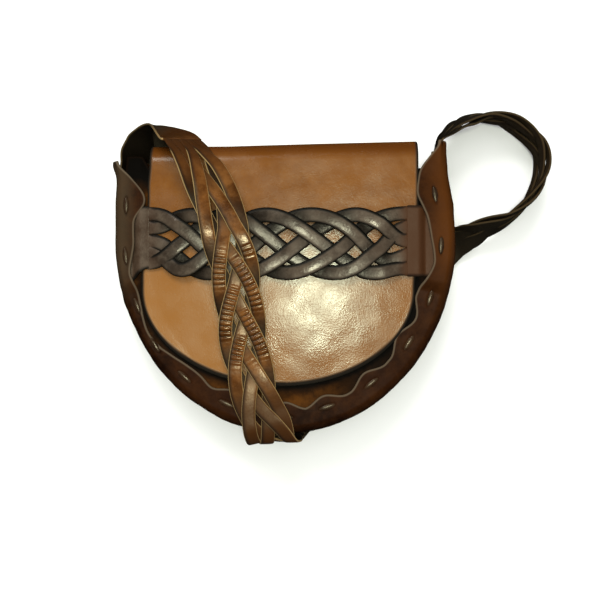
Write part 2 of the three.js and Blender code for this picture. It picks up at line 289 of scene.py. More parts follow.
def leatherFinish(name, ownLook):
    look = {**plainLeather, **ownLook}
    material = bpy.data.materials.new(name)
    material.use_nodes = True
    tree = material.node_tree
    shader = tree.nodes["Principled BSDF"]
    link = tree.links.new
    place = addNode(tree, "ShaderNodeTexCoord").outputs["Object"]
    calc = partial(mathNode, tree)
    times = partial(mathNode, tree, "MULTIPLY")

    def noiseAt(scale, detail, rough=0.6):
        return made(tree, "ShaderNodeTexNoise",
                    {"Vector": place, "Scale": scale, "Detail": detail, "Roughness": rough})

    def mark(markName, *limits):
        value = addNode(tree, "ShaderNodeAttribute", attribute_name=markName).outputs["Fac"]
        return rangeNode(tree, value, *limits) if limits else value

    def paint(under, over, factor):
        # one colour over another, where either may be named by its key
        colours = [look[each] if isinstance(each, str) else each for each in (under, over)]
        inputs = {0: factor, 6: colours[0], 7: colours[1]}
        return addNode(tree, "ShaderNodeMix", inputs, data_type="RGBA").outputs[2]

    def duller(rough, where, key):
        return calc("ADD", rough, times(where, look[key]), clamp=True)

    # colour: broad patches of dye, a finer mottle, then what each place has: its own lighter or darker
    # tone, painted shade, and the cut edge
    patches = rangeNode(tree, noiseAt(look["patchScale"], 5.0), *look["patchRange"])
    mottle = rangeNode(tree, noiseAt(look["mottleScale"], 6.0, 0.7), *look["mottleRange"])
    colour = paint(paint("deep", "main", patches), "light", times(mottle, look["mottle"]))
    if "glow" in look:
        colour = paint(colour, "glow", mark("glow"))
    # painted shade where a strand dips under the others
    if "sunk" in look:
        low = times(mark("sunk", *look["sunkRange"]), look["sunk"])
        colour = paint(colour, "sunkShadeColour", low)
    # the tone mark: painted shade on the flap's fold and inside and on the front panel, the leather's own
    # tone on the gusset and band, and on the strap its own olive and brown, partly painted shade at its
    # lower end
    if "toneMiddle" in look:
        colour = paint(colour, "toneMiddle", mark(look["tone"], 0.0, 0.5))
        colour = paint(colour, "toneColour", mark(look["tone"], 0.5, 1.0))
    elif "tone" in look:
        colour = paint(colour, "toneColour", mark(look["tone"]))
    # painted shade in the slits under the stitches
    if "slit" in look:
        colour = paint(colour, "slit", mark("slit"))
    # painted shade in the grooves, down one side of each strand and on its under face
    dark = {}
    for key, (markName, limits, share) in shadePlaces.items():
        if key in look:
            dark[key] = times(mark(markName, *limits), share)
            colour = paint(colour, key, dark[key])
    edge = 0.0
    if "edge" in look:
        edge = mark("rim", look["edgeWidth"], 0.0)
        shade = times(edge, look["edgeShade"])
        if "edgeFade" in look:
            faded = times(mark(look["tone"]), look["edgeFade"])
            shade = times(shade, calc("SUBTRACT", 1.0, faded))
        colour = paint(colour, "edge", shade)
    link(colour, shader.inputs["Base Color"])

    # grain: pebbled cells with fine creases between them, over a broader unevenness
    cells = made(tree, "ShaderNodeTexVoronoi", {"Vector": place, "Scale": look["grainScale"]})
    fine = noiseAt(look["grainScale"] * look["fineShare"], 5.0, 0.65)
    broad = made(tree, "ShaderNodeBump", {"Strength": look["crease"], "Distance": look["creaseDepth"],
                                          "Height": noiseAt(look["creaseScale"], 3.0, 0.5)})
    bump = made(tree, "ShaderNodeBump", {
        "Strength": look["grain"], "Distance": look["grainDepth"], "Normal": broad,
        "Height": calc("ADD", times(cells, look["cellShare"]), fine)})
    link(bump, shader.inputs["Normal"])

    # gloss: uneven, duller along cut edges and where the leather is dark
    rough = rangeNode(tree, noiseAt(look["roughScale"], 4.0), 0.3, 0.7,
                      look["rough"] - look["smoother"], look["rough"] + look["rougher"])
    rough = duller(rough, edge, "edgeRough")
    if "toneRough" in look:
        rough = duller(rough, mark(look["tone"]), "toneRough")
    if "shadeRough" in look:
        rough = duller(rough, calc("MAXIMUM", dark["shaded"], low), "shadeRough")
    link(rough, shader.inputs["Roughness"])
    shader.inputs["Specular IOR Level"].default_value = look["specular"]
    shader.inputs["Specular Tint"].default_value = (*look["specularTint"], 1)
    return material


finish = {name: leatherFinish(name + "_leather", look) for name, look in finishes.items()}
print("finishes ready")


# back, fold and flap: one piece
flap = {"x": -6, "y": 0.8, "left": 104.5, "right": 100, "drop": 72, "topLeft": -106.2, "topRight": 97,
        "foldLeft": -105, "foldTop": 110, "foldBack": 15, "foldFront": 13, "foldSteps": 14,
        "slope": 0.0235, "slopeFrom": -45, "inset": 8.5, "backTop": 84, "columns": 90,
        "ripple": 0.42, "rippleSize": 46.0, "lift": 0.35, "innerShadeStrength": 1.35,
        "glowDown": (75, -10), "glowAcross": (20, -60), "glowLeast": 0.25,
        "rubbed": 1.6, "rubbedFrom": (-10, -60), "backRows": 44, "straightRows": (93, 4, 32),
        "roundRows": (-1, -88, 52), "slopeBack": (84, 97), "leftWidens": (70, 12),
        "leftJoins": (78, 97), "rightWidens": (30, 2), "frontUp": (30, 46), "innerUp": (30, 60),
        "foldBrim": (96, 108)}
# the back stays nearly full width where it starts to turn over
backCorner = {"angle": [-90, -60, -30, 0], "left": [-123, -118, -108, -105]}


def wallRight(y):
    return body["x"] + body["halfWidth"] - body["rightLean"] * smooth(*body["leanFrom"], y)


def panelLimits(y, inset):
    sink = np.maximum(0, body["y"] - y) / (body["halfHeight"] - inset)
    half = (body["halfWidth"] - inset) * np.sqrt(np.maximum(0, 1 - sink ** 2))
    return body["x"] - half, np.minimum(body["x"] + half, wallRight(y) - inset)


def panelRows(inset, top, steps, share, height):
    # a panel with the body's outline, from just above its lowest point to its top
    angles = np.radians(np.linspace(-88, 0, steps))
    lower = body["y"] + (body["halfHeight"] - inset) * np.sin(angles)
    return [rowAcross(y, *panelLimits(y, inset), share, height)
            for y in np.concatenate([lower, np.linspace(body["y"] + 3, top, steps // 3)])]


def foldRows(share, backHeight):
    # two quarter turns, the back one larger, and a little higher towards the right
    back, front, steps = flap["foldBack"], flap["foldFront"], flap["foldSteps"]
    frontY = flap["foldTop"] - front
    topHeight = flapHeight(body["x"], frontY)
    turns = [(angle, back, backHeight + back, float(np.interp(angle, *backCorner.values())))
             for angle in np.linspace(-90, 0, steps)]
    turns += [(angle, front, topHeight - front, flap["foldLeft"]) for angle in np.linspace(0, 90, steps)]
    rows = []
    for angle, radius, centre, left in turns:
        y = flap["foldTop"] - radius * (1 - math.cos(math.radians(angle)))
        z = centre + radius * math.sin(math.radians(angle))
        x = mix(left, flap["topRight"], share)
        rise = flap["slope"] * np.maximum(0, x - flap["slopeFrom"]) * smooth(*flap["slopeBack"], y)
        domed = (flapHeight(x, frontY) - topHeight) * smooth(backHeight + back, depth, z)
        rows.append(np.stack([x, y + rise, z + domed], 1))
    return rows


def makeBackAndFlap():
    share = np.linspace(0, 1, flap["columns"])
    backHeight = leather + gap + flapLeather / 2
    rows = panelRows(flap["inset"], flap["backTop"], flap["backRows"], share, lambda x, y: backHeight)
    rows += foldRows(share, backHeight)
    for y in np.linspace(*flap["straightRows"]):
        left = mix(flap["topLeft"], flap["x"] - flap["left"], smooth(*flap["leftWidens"], y))
        left = mix(left, flap["foldLeft"], smooth(*flap["leftJoins"], y))
        right = mix(flap["topRight"], flap["x"] + flap["right"], smooth(*flap["rightWidens"], y))
        rows.append(rowAcross(y, left, right, share, flapHeight))
    for angle in np.radians(np.linspace(*flap["roundRows"])):
        y = flap["y"] + flap["drop"] * math.sin(angle)
        left = flap["x"] - flap["left"] * math.cos(angle)
        right = flap["x"] + flap["right"] * math.cos(angle)
        rows.append(rowAcross(y, left, right, share, flapHeight))
    grid = np.array(rows)[::-1]
    x, y, z = np.moveaxis(grid, 2, 0)
    onFront = smooth(*flap["frontUp"], z)
    uneven = ripple(grid * (1, 1, 0.3), flap["rippleSize"], flap["ripple"], 1)
    z += uneven * onFront + flap["lift"] * onFront
    # painted shade: darker over the top of the fold, and over the inner face low in the bag, where it
    # lies in shadow
    foldShade = smooth(*flap["foldBrim"], y) * onFront
    insideShade = np.maximum(foldShade, flap["innerShadeStrength"] * (1 - smooth(*flap["innerUp"], z)))
    across = mix(flap["glowLeast"], 1, smooth(*flap["glowAcross"], x))
    glow = smooth(*flap["glowDown"], y) * onFront * across
    # the dark cut edge is painted wider towards the bottom, as painted shadow under the flap's lifted
    # lower edge
    rubbed = flap["rubbed"] * smooth(*flap["rubbedFrom"], y) * onFront
    return leatherSheet("back_and_flap_leather", grid, flapLeather, finish["tan"],
                        {"foldShade": (insideShade, foldShade), "glow": glow}, shadowWidening=rubbed)


backAndFlap = makeBackAndFlap()
print("back and flap made")


# front panel
panel = {"inset": 8.5, "top": 92, "columns": 80, "cornerRise": 11, "cornerDrop": 7,
         "mouthShade": (72, 82), "flapShade": (1.15, 1.02), "flapReach": 102, "rightShade": 0.9,
         "rightFrom": (-5, 60), "rows": 50, "cornerUp": (76, 92), "cornerAcross": (-114, -105)}


def makeFrontPanel():
    share = np.linspace(0, 1, panel["columns"])
    grid = np.array(panelRows(panel["inset"], panel["top"], panel["rows"], share, panelHeight))[::-1]
    x, y = grid[..., 0], grid[..., 1]
    # the corner at the left ear stands up and is folded in, a sheet painted dark by the mouth's shade
    # that fills the shaded hollow under the strap's arch
    corner = smooth(*panel["cornerUp"], y) * (1 - smooth(*panel["cornerAcross"], x))
    # painted shade: dark at the mouth, close under the flap and up the right side, and over the whole
    # inner face
    reach = np.hypot((x - flap["x"]) / panel["flapReach"], (y - flap["y"]) / flap["drop"])
    shade = np.maximum(smooth(*panel["mouthShade"], y), smooth(*panel["flapShade"], reach))
    shade = np.maximum(shade, panel["rightShade"] * smooth(*panel["rightFrom"], x))
    grid[..., 1] += panel["cornerRise"] * corner
    grid[..., 2] -= panel["cornerDrop"] * corner ** 2
    return leatherSheet("front_panel_leather", grid, leather, finish["chestnut"],
                        {"shade": (shade, 0 * shade + 1)})


frontPanel = makeFrontPanel()
print("front panel made")


# gusset: a channel of leather round the sides and bottom, turned in over the front and back
strip = {"stations": 760, "flange": 20.5, "flangeSteps": 16, "innerShare": 0.08, "halfPitch": 20.5,
         "neck": 0.86, "full": 1.15, "pucker": 0.45, "sink": 0.2, "ear": 6.0, "earFrom": (24, 1),
         "earFlare": 3.0, "bandLift": 3.9, "bandFrom": (-6, 6), "bandTo": (66, 92), "frontGap": 0.3,
         "ripple": 0.5, "rippleSize": 22.0, "sideRipple": 1.4, "frontRipple": 0.6,
         "ruddy": 0.75, "ruddyAt": ((95, 120), (-30, 40)), "glow": 0.6,
         "glowAt": ((-112, -126), (-20, 20), (34, 46)), "leftUntil": (190, 215), "rightFrom": (438, 450),
         "liftEase": 12, "sideEase": 8, "frontEase": (6, 2), "lowestRipple": -0.2,
         "flareFrom": (13, 1), "flareUp": (24, 46)}
# the flange down the left side: distance from the ear, and width there
leftFlange = {
    "along": [0, 9, 18, 24, 29, 35, 42, 50, 64, 78, 85, 92, 98, 108, 122, 137, 151, 160, 175, 189, 210],
    "width": [5, 9.7, 17.8, 23, 25.2, 23.5, 16.2, 15.9, 16.3, 13, 10.6, 11.2, 13, 13, 10.8, 8.8, 10.6,
              14, 18.3, 20.3, 18.8]}
# the flange up the right side, by distance from the left ear as well
rightFlange = {
    "along": [440, 450, 458, 466, 473, 483, 493, 503, 513, 522, 531, 540, 548, 556, 564],
    "width": [23.0, 23.0, 19.7, 17, 15.5, 17, 19, 20.3, 21.5, 23.8, 26.3, 24, 21.2, 13.5, 6]}
# where the lacing goes down: distance along the edge from the left ear, and distance in from it
lacing = {"along": [34, 73, 114, 149, 184, 226, 277, 314, 357, 403, 444, 487, 528],
          "inset": [10.5, 9.5, 9.5, 9.0, 11.5, 13.0, 12.5, 15.0, 14.5, 13.5, 13.0, 12.0, 13.5]}
slits = {"halfLength": 9.0, "halfWidth": 2.3, "frontDepth": 0.9, "backDepth": -0.2}
# half of the channel: distance in from the edge line, and height above the flange
channel = [(5.2, 0.2), (3.4, 2.0), (2.2, 4.2), (1.3, 7.2), (0.7, 11.0), (0.2, 17.0), (0.0, 23.3)]


def edgeLine(count):
    # the body's outline: down the left side, round half an ellipse and up the leaning right side
    middle = np.array([body["x"], body["y"]])
    left, right = middle[0] - body["halfWidth"], middle[0] + body["halfWidth"]
    leftSide = [(left, y) for y in np.linspace(body["leftTop"], body["y"], 80)[:-1]]
    angles = np.linspace(math.pi, 2 * math.pi, 600)[:, None]
    bottom = middle + np.hstack([body["halfWidth"] * np.cos(angles), body["halfHeight"] * np.sin(angles)])
    # a curve drawn by two pulls between the widest point and the top
    lean = right - body["rightLean"]
    rightSide = np.array([[(right, body["y"]), (right, 68), (lean, 80), (lean, body["rightTop"])]])
    share = np.linspace(0, 1, 100)[1:, None, None]
    for step in range(3):
        rightSide = mix(rightSide[:, :-1], rightSide[:, 1:], share)
    line = np.concatenate([leftSide, bottom, rightSide[:, 0]])
    run = runAlong(line)
    along = np.linspace(0, run[-1], count)
    points = np.stack([np.interp(along, run, line[:, k]) for k in (0, 1)], 1)
    ahead = unit(np.gradient(points, axis=0))
    return points, np.stack([-ahead[:, 1], ahead[:, 0]], 1), ahead, along


def stitchNearness(along):
    # 1 at each stitch, 0 halfway between two
    nearest = np.abs(along[:, None] - np.array(lacing["along"], float)).min(axis=1)
    return 0.5 + 0.5 * np.cos(np.minimum(nearest / strip["halfPitch"], 1.0) * math.pi)


def flangeWidth(points, along):
    neck, full = strip["neck"], strip["full"]
    width = strip["flange"] * (neck + (full - neck) * stitchNearness(along))
    width = mix(width, strip["ear"], smooth(*strip["earFrom"], body["rightTop"] - points[:, 1]))
    width = mix(evened(leftFlange, along, 5, 11), width, smooth(*strip["leftUntil"], along))
    return mix(width, evened(rightFlange, along, 3, 7), smooth(*strip["rightFrom"], along))


def gussetGrid():
    points, inward, ahead, along = edgeLine(strip["stations"])
    width = flangeWidth(points, along)
    lift = strip["bandLift"] * between(strip["bandFrom"], strip["bandTo"], points[:, 1])
    near = stitchNearness(along)
    flangeShares = np.linspace(1, strip["innerShare"], strip["flangeSteps"])
    low, crown = leather / 2, depth - leather / 2
    columns = [(mix(channel[0][0], width, share), low + 0 * width) for share in flangeShares]
    columns += [(reach + 0 * width, low + rise + 0 * width) for reach, rise in channel]
    for reach, rise in channel[-2::-1]:
        columns.append((reach + 0 * width, crown - rise + lift * smooth(strip["liftEase"], 0, rise)))
    for share in flangeShares[::-1]:
        # the flange is drawn down at each stitch and stands up a little between them
        pucker = strip["pucker"] * (1 - near) * share - strip["sink"] * near * share
        height = crown + lift + pucker + strip["frontGap"]
        columns.append((mix(channel[0][0], width, share), height))
    reaches = np.stack([reach for reach, height in columns], 1)
    grid = np.empty((*reaches.shape, 3))
    grid[..., :2] = points[:, None] + inward[:, None] * reaches[..., None]
    grid[..., 2] = np.stack([height for reach, height in columns], 1)

    uneven = ripple(grid, strip["rippleSize"], strip["ripple"], 4)
    side = between((0, strip["sideEase"]), (depth - strip["sideEase"], depth), grid[..., 2])
    flare = strip["earFlare"] * smooth(*strip["flareFrom"], along)[:, None]
    flare = flare * smooth(*strip["flareUp"], grid[..., 2])
    grid[..., :2] -= inward[:, None] * (uneven * side * strip["sideRipple"])[..., None]
    grid[..., :2] -= inward[:, None] * flare[..., None]
    front = smooth(*strip["frontEase"], depth - grid[..., 2])
    grid[..., 2] += np.maximum(uneven, strip["lowestRipple"]) * front * strip["frontRipple"]
    # each slit is a narrow hollow under its stitch, front and back, painted darker as the shade in it
    slit = np.zeros(grid.shape[:2])
    for place, inset in zip(*lacing.values()):
        hollow = (1 - ((along[:, None] - place) / slits["halfLength"]) ** 2
                  - ((reaches - inset) / slits["halfWidth"]) ** 2)
        slit = np.maximum(slit, np.clip(hollow, 0, 1))
    onFront = grid[..., 2] > depth / 2
    grid[..., 2] -= slit * np.where(onFront, slits["frontDepth"], slits["backDepth"])
    return grid, slit, points, inward, ahead, along


def makeGusset():
    grid, slit = gussetGrid()[:2]
    ruddy, glow = [strip[key] * np.prod([smooth(*span, grid[..., axis])
                                         for axis, span in enumerate(strip[key + "At"])], axis=0)
                   for key in ("ruddy", "glow")]
    return leatherSheet("gusset_leather", grid, leather, finish["cordovan"],
                        {"slit": slit, "ruddy": ruddy, "glow": glow})


gusset = makeGusset()
print("gusset made")


# node trees for what repeats: each takes points or lines, and ends in one leather mesh
def newTree(name, sizes):
    tree = bpy.data.node_groups.new(name, "GeometryNodeTree")
    sockets = tree.interface
    sockets.new_socket("Geometry", in_out="INPUT", socket_type="NodeSocketGeometry")
    for label, size in sizes.items():
        sockets.new_socket(label, in_out="INPUT", socket_type="NodeSocketFloat").default_value = size
    sockets.new_socket("Leather", in_out="INPUT", socket_type="NodeSocketMaterial")
    sockets.new_socket("Geometry", in_out="OUTPUT", socket_type="NodeSocketGeometry")
    return tree, addNode(tree, "NodeGroupInput").outputs


def endTree(tree, geometry, given):
    smoothed = made(tree, "GeometryNodeSetShadeSmooth", {"Geometry": geometry})
    realized = made(tree, "GeometryNodeRealizeInstances", {"Geometry": smoothed})
    dressed = made(tree, "GeometryNodeSetMaterial", {"Geometry": realized, "Material": given["Leather"]})
    addNode(tree, "NodeGroupOutput", {0: dressed})
    return tree


def readMark(tree, name, kind="FLOAT"):
    return made(tree, "GeometryNodeInputNamedAttribute", {"Name": name}, data_type=kind)


def storeMark(tree, geometry, name, value):
    return made(tree, "GeometryNodeStoreNamedAttribute",
                {"Geometry": geometry, "Name": name, "Value": value}, data_type="FLOAT", domain="POINT")


def strandTree():
    # a flat strand along every line it is given
    tree, given = newTree("flat_strands", {"Width": 0.01, "Thickness": 0.002, "Squareness": 0.6,
                                           "Rib Height": 0.0, "Rib Pitch": 0.003, "Low Shadow": 0.0})
    sides, ribMiddle, joinedRim = 18, 1.3, 2.5
    calc = partial(mathNode, tree)
    times = partial(mathNode, tree, "MULTIPLY")
    mark = partial(readMark, tree)

    # the section: a circle pressed flat
    section = made(tree, "GeometryNodeCurvePrimitiveCircle", {"Resolution": sides, "Radius": 1.0})
    split = addNode(tree, "ShaderNodeSeparateXYZ", {0: made(tree, "GeometryNodeInputPosition")})
    shape = {}
    for name, axis, size in (("across", 1, "Width"), ("upward", 0, "Thickness")):
        place = split.outputs[axis]
        pressed = calc("POWER", calc("ABSOLUTE", place), given["Squareness"])
        section = storeMark(tree, section, name, times(pressed, calc("SIGN", place)))
        shape[axis] = times(times(mark(name), given[size]), 0.5)
    position = made(tree, "ShaderNodeCombineXYZ", shape)
    section = made(tree, "GeometryNodeSetPosition", {"Geometry": section, "Position": position})

    # the line, with its own flat side
    flat = mark("flat", "FLOAT_VECTOR")
    line = made(tree, "GeometryNodeMeshToCurve", {"Mesh": given["Geometry"]})
    facing = made(tree, "GeometryNodeSetCurveNormal", {"Curve": line, "Normal": flat}, mode="FREE")
    sweep = made(tree, "GeometryNodeCurveToMesh", {"Curve": facing, "Profile Curve": section,
                                                   "Scale": mark("narrow"), "Fill Caps": True})

    # ribs pressed across it, which fade towards its edges
    turn = times(calc("DIVIDE", mark("along"), given["Rib Pitch"]), math.pi)
    ridge = calc("ABSOLUTE", calc("SINE", turn))
    wave = calc("SUBTRACT", times(ridge, 2.0), ribMiddle)
    grooveShade = times(calc("SUBTRACT", 1.0, ridge), mark("ribs"))
    fade = calc("SUBTRACT", 1.0, calc("POWER", calc("ABSOLUTE", mark("across")), 4.0))
    push = times(times(times(wave, mark("ribs")), fade), given["Rib Height"])
    scale = times(push, calc("SIGN", mark("upward")))
    offset = made(tree, "ShaderNodeVectorMath", {0: flat, "Scale": scale}, operation="SCALE")
    ribbed = made(tree, "GeometryNodeSetPosition", {"Geometry": sweep, "Offset": offset})

    # rim: millimetres from the cut edge, less on the low side, where the dark edge is painted wider as a
    # shadow, more where it is joined
    rim = times(times(calc("SUBTRACT", 1.0, calc("ABSOLUTE", mark("across"))), given["Width"]), 0.5 / mm)
    shadowSide = calc("MAXIMUM", times(mark("across"), -1.0), 0.0)
    rim = calc("SUBTRACT", rim, times(shadowSide, given["Low Shadow"]))
    rim = calc("ADD", rim, times(calc("SUBTRACT", 1.0, mark("apart")), joinedRim))
    # the grooves, one side of each strand and its under face are marked for painted shade
    marks = {"rim": rim, "grooveShade": grooveShade, "side": times(mark("across"), mark("apart")),
             "under": times(mark("upward"), -1.0)}
    for name, value in marks.items():
        ribbed = storeMark(tree, ribbed, name, value)
    return endTree(tree, ribbed, given)


def runTree(name, guide, tree, sizes, material):
    modifier = guide.modifiers.new("shape", "NODES")
    modifier.node_group = tree
    sockets = {s.name: s.identifier for s in tree.interface.items_tree if s.in_out == "INPUT"}
    for key, value in {**sizes, "Leather": material}.items():
        modifier[sockets[key]] = value
    bpy.context.view_layer.update()
    shaped = guide.evaluated_get(bpy.context.evaluated_depsgraph_get())
    mesh = bpy.data.meshes.new_from_object(shaped)
    bpy.data.objects.remove(guide)
    mesh.name = name
    mesh.materials.clear()
    mesh.materials.append(material)
    return addObject(name, mesh)


def guideLines(name, lines):
    # lines: one dictionary a strand, with points, flat and the marks named below
    keys = ("along", "narrow", "ribs", "tone", "sunk", "apart")
    points, flats, edges, marks = [], [], [], {key: [] for key in keys}
    for line in lines:
        start, count = len(points), len(line["points"])
        edges += [(start + i, start + i + 1) for i in range(count - 1)]
        points.extend(layDown(line["points"]))
        flats.extend(line["flat"] @ layRows.T)
        line["along"] = runAlong(line["points"]) * mm
        for key in keys:
            marks[key].extend(np.broadcast_to(line[key], count))
    mesh = bpy.data.meshes.new(name)
    mesh.from_pydata(points, edges, [])
    setMarks(mesh, marks)
    flat = mesh.attributes.new("flat", "FLOAT_VECTOR", "POINT")
    flat.data.foreach_set("vector", np.array(flats, np.float32).ravel())
    return addObject(name, mesh)


def braidLines(path, count, direction, startSlots, endSlots):
    # path has one row a station: centre, wide, up, turn, spread, rise, braided, slot and the marks
    lines = []
    half = len(path["turn"]) // 2
    for i in range(count):
        angle = 2 * math.pi * (path["turn"] + i / count)
        rank = (count - 1) / 2 - np.where(np.arange(len(angle)) < half, startSlots[i], endSlots[i])
        aside = mix(rank * path["slot"], path["spread"] * np.cos(angle), path["braided"])
        above = path["rise"] * np.sin(2 * angle) * direction * path["braided"]
        points = path["centre"] + path["wide"] * aside[:, None] + path["up"] * above[:, None]
        ahead = unit(np.gradient(points, axis=0))
        flat = unit(path["up"] - ahead * np.sum(path["up"] * ahead, axis=1, keepdims=True))
        share = above / np.maximum(path["rise"], 0.1)
        lines.append({**path, "points": points, "flat": flat,
                      # painted shade where the strand dips under the others
                      "sunk": (0.5 - 0.5 * share) * path["braided"],
                      "ribs": path["ribs"] * smooth(0.0, 0.6, share)})
    return lines


def slotOrder(turn, count):
    # slots as the strands lie across the strap, widest reach first
    reaches = [-math.cos(2 * math.pi * (turn + i / count)) for i in range(count)]
    return np.argsort(np.argsort(reaches))


strands = strandTree()


# front band: a strap slit into five strands and braided over the flap
# each strand's dark edge is painted wider on its low side, as painted shadow
band = {"left": -122.5, "right": 111.5, "leftPlate": -105.0, "rightPlate": 88.5, "middle": 37.0,
        "low": 11.0, "high": 63.0, "sink": 2.4, "clear": 0.6, "strand": 11.3, "thickness": 2.5,
        "squareness": 0.7, "lowShadow": 1.6, "spread": 21.6, "rise": 2.1, "slot": 10.4, "narrow": 0.93,
        "braidFrom": (-106, -82), "braidTo": (68, 90), "step": 1.3, "overlap": 1.5, "blend": 5,
        "pinch": 6.0, "corner": 4.5, "leftTone": 0.3, "leftFade": (-103, -93), "rightTone": 1.0,
        "rightFade": (79, 89), "floorFrom": (-118, -112), "floorTo": (97, 103), "pinchReach": 26,
        "pinchMost": 1.2, "pinchFrom": (-119, -106), "pinchTo": (-94, -74), "cornerFrom": (-112, -122),
        "settled": 0.06, "plateGrid": (24, 50),
        "leftSlots": [2, 3, 4, 1, 0], "rightSlots": [3, 4, 1, 0, 2]}
# how far round the plait has gone, at places along the band
bandTurns = {"x": [-108, -80, -52.5, -25, 7.4, 43.7, 66, 84, 92],
             "turn": [-0.79, -0.65, -0.45, -0.25, -0.05, 0.15, 0.32, 0.392, 0.41]}


def bandFloor(x, y):
    low = panelHeight(x, y) + leather / 2
    high = flapHeight(x, y) + flapLeather / 2 + band["clear"]
    return mix(low, high, between(band["floorFrom"], band["floorTo"], x))


def drawnIn(x, y):
    # the band is narrower beside the left plate, whose lower corner is stretched down
    share = np.clip((band["middle"] - y) / band["pinchReach"], 0, band["pinchMost"])
    pinch = band["pinch"] * between(band["pinchFrom"], band["pinchTo"], x)
    return y + share * (pinch - band["corner"] * smooth(*band["cornerFrom"], x))


def makeBand():
    x = np.arange(band["leftPlate"] - band["overlap"], band["rightPlate"] + band["overlap"], band["step"])
    every = np.ones(len(x))
    braided = between(band["braidFrom"], band["braidTo"], x)
    middle = band["middle"] - band["sink"] * braided
    half = band["thickness"] / 2
    height = bandFloor(x, middle) + gap + half
    height = height + band["rise"] * braided - band["settled"] * (1 - braided)
    tone = (band["leftTone"] * (1 - smooth(*band["leftFade"], x))
            + band["rightTone"] * smooth(*band["rightFade"], x))
    lines = braidLines({
        "centre": np.stack([x, middle, height], 1), "wide": np.outer(every, [0, 1, 0]),
        "up": np.outer(every, [0, 0, 1]), "turn": evened(bandTurns, x, 9, 13),
        "spread": band["spread"] * every, "rise": band["rise"] * every, "braided": braided,
        "slot": band["slot"], "narrow": mix(band["narrow"], 1.0, braided), "ribs": 0, "tone": tone,
        "apart": smooth(0, band["blend"], x - x[0]) * smooth(0, band["blend"], x[-1] - x),
    }, 5, 1, band["leftSlots"], band["rightSlots"])
    for line in lines:
        line["points"][:, 1] = drawnIn(line["points"][:, 0], line["points"][:, 1])
    braid = runTree("front_band_strands", guideLines("band_guide", lines), strands,
                    {"Width": band["strand"] * mm, "Thickness": band["thickness"] * mm,
                     "Squareness": band["squareness"], "Low Shadow": band["lowShadow"]}, finish["dark"])
    plates = []
    rows, columns = band["plateGrid"]
    for side, low, high, uncut in (("left", band["left"], band["leftPlate"], -1),
                                   ("right", band["rightPlate"], band["right"], 0)):
        px, py = np.meshgrid(np.linspace(low, high, rows),
                             np.linspace(band["low"], band["high"], columns), indexing="ij")
        pz = bandFloor(px, band["middle"] + 0 * py) + gap + half
        if side == "left":
            py = drawnIn(px, py)
        plates.append(leatherSheet("band_" + side, np.stack([px, py, pz], 2),
                                   band["thickness"] * band["narrow"], finish["dark"],
                                   {"tone": np.full(px.shape, band[side + "Tone"])}, uncut=uncut))
    return joinPieces("front_band_leather", braid, *plates)


frontBand = makeBand()
print("front band made")


# shoulder strap: where it runs, which way its near edge points, its width and thickness
strapRoute = [
    (-128.4, 74, 24.5, 180, 90, 34, 2.3), (-128.4, 99, 25, 180, 90, 34, 2.3),
    (-122.5, 106, 27, 160, 70, 36, 2.6), (-115.5, 113.5, 29, 135, 60, 37, 2.6),
    (-108.4, 129, 30, 315, 80, 37, 3.2), (-93.2, 121.4, 41, 247, 64, 37, 7),
    (-80, 113.5, 55.5, 215, 60, 37, 7), (-68, 97.5, 64.5, 210, 40, 37, 7),
    (-56, 73, 65, 200, 16, 37, 7.5), (-44.7, 39, 69, 196, 2, 37, 7.5),
    (-37.7, 5, 65, 194, 0, 37, 7.5), (-34, -30, 59, 191, 0, 37, 7.5),
    (-27.6, -65, 57.5, 193, 0, 36, 7.5), (-20.8, -90, 54.8, 198, 0, 37, 7.5),
    (-15.8, -102, 54, 195, 0, 39, 7), (-11.5, -111.6, 47.5, 186, 0, 39, 6.5),
    (-9.5, -113.6, 36, 180, 0, 39, 6), (-9, -114, 12, 180, 0, 39, 6),
    (-8, -112.5, 2.5, 180, 0, 39, 5.8), (-6, -107, -3.2, 174, 0.5, 39, 5.6),
    (2, -98, -4, 156, 2, 39, 5.6), (20, -79, -4, 140, 2.1, 39, 5.6),
    (66, -30, -4, 136, 2.1, 38, 5.6), (106, 15, -4, 134, 2.1, 33, 5.6),
    (121, 31, -4, 126, 2.1, 26, 5.6), (132, 39.5, -3.8, 115, 3, 22, 5.6),
    (140, 44, 3, 112, 34, 22, 6), (151, 49, 9.8, 114, 62, 30, 7),
    (172, 58.5, 12, 126, 83, 36, 7), (189.5, 75, 12.5, 145, 89, 38, 7),
    (198.5, 95, 12.5, 175, 92, 38, 7.2), (194.5, 117, 13, 208, 93, 38, 7.2),
    (175.5, 133, 14, 240, 92, 38, 7), (154, 138, 17, 262, 84, 37, 7),
    (135.5, 132.8, 21, 270, 68, 37, 7), (122.7, 123, 24.5, 270, 68, 37, 7),
    (115.4, 113.5, 25, 270, 88, 35, 4.5), (115.9, 88, 24.5, 270, 90, 34, 2.3),
]
# spans named rows count the route's fine steps, the others are millimetres along the strap
strap = {"strand": 10.4, "thickness": 2.1, "squareness": 0.6, "narrow": 0.69, "wider": 0.22,
         "repeat": 192.0, "bulgeY": -58.0, "slowY": 45, "slowTurn": 0.55, "slot": 7.2, "blend": (2, 34),
         "ribY": (34, -60), "ribHeight": 0.42, "ribPitch": 4.0, "ribFade": 12,
         "leftTailRow": 181, "rightTailRow": -40, "tailColumns": 42, "squareRows": [150, 195],
         "lip": 17.0, "lipWay": (0.88, -0.45, 0.1), "lipRiseRows": [55, 90], "lipFallRows": [118, 160],
         "rowSteps": 30, "softening": 21, "step": 1.7, "ribStep": 0.55,
         "archTone": (62, 165), "endTone": (-10, 45), "loopTone": (75, 115), "loopFrom": (160, 230),
         "seamTone": 0.6, "seamLength": 45}


